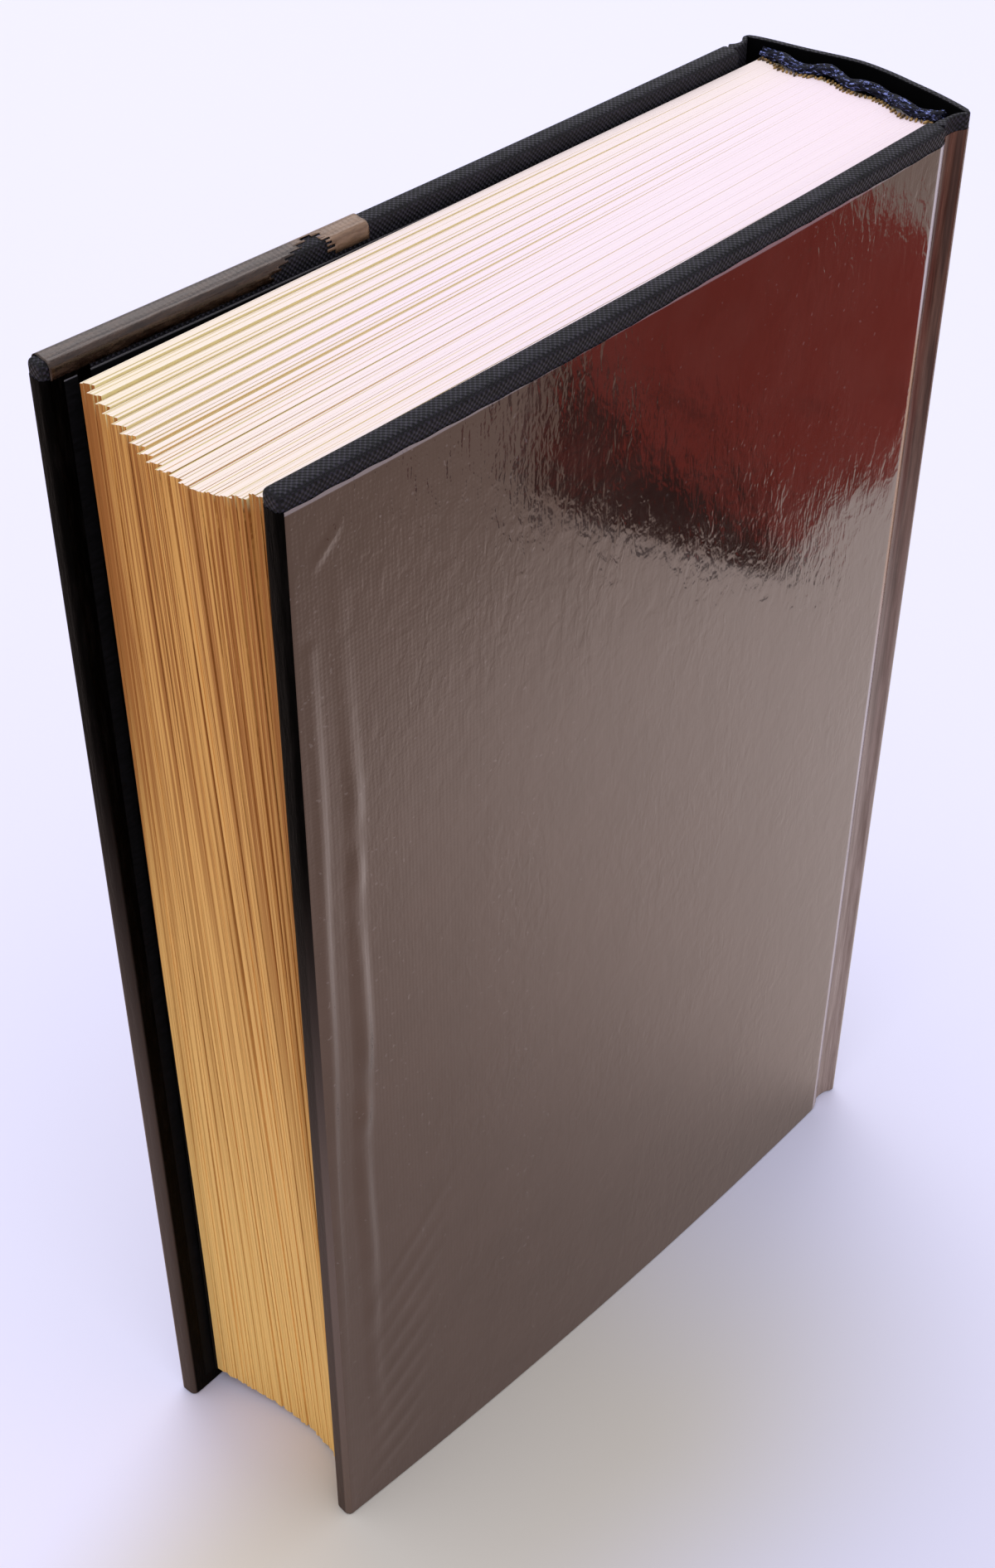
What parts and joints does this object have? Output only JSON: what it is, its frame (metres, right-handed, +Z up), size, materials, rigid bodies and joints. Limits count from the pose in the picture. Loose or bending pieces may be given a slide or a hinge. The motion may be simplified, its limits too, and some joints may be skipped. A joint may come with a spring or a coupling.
{
  "type": "hardback book",
  "caption": "Thick cloth-bound hardback book standing on its tail, with a rounded hollow spine, headbands, sewn pages, clear film over the cloth and two covers that open",
  "frame": {"origin": "bottom centre of the closed book's bounding box, on the surface it stands on", "axes": "+Z up from tail to head, +X from the fore-edge to the spine, +Y from the back cover to the front cover"},
  "size_m": [0.1585, 0.0522, 0.2401],
  "materials": {
    "cream_paper": "matte uncoated",
    "black_paper": "matte",
    "navy_silk": "silky",
    "mull": "open gauze",
    "kraft_paper": "matte",
    "card": "matte",
    "millboard": "matte",
    "book_cloth": "plain weave",
    "clear_film": "clear gloss"
  },
  "bodies": {
    "text_block": {"pages": "cream_paper", "front_flyleaf": "black_paper", "back_flyleaf": "black_paper", "headband": "navy_silk", "tailband": "navy_silk", "spine_mull": "mull", "spine_lining": "kraft_paper", "spine_inlay": "card", "spine_cloth": "book_cloth", "spine_film": "clear_film"},
    "front_cover": {"front_board": "millboard", "front_cloth": "book_cloth", "front_pastedown": "black_paper", "front_film": "clear_film"},
    "back_cover": {"back_board": "millboard", "back_cloth": "book_cloth", "back_pastedown": "black_paper", "back_film": "clear_film"}
  },
  "joints": [
    {"name": "front_hinge", "type": "hinge", "parent": "text_block", "child": "front_cover", "pos_m": [0.07055, 0.02235, 0], "axis": [0, 0, -1], "range_deg": [-0.2, 175]},
    {"name": "back_hinge", "type": "hinge", "parent": "text_block", "child": "back_cover", "pos_m": [0.07055, -0.02601, 0], "axis": [0, 0, 1], "range_deg": [0, 175]}
  ]
}
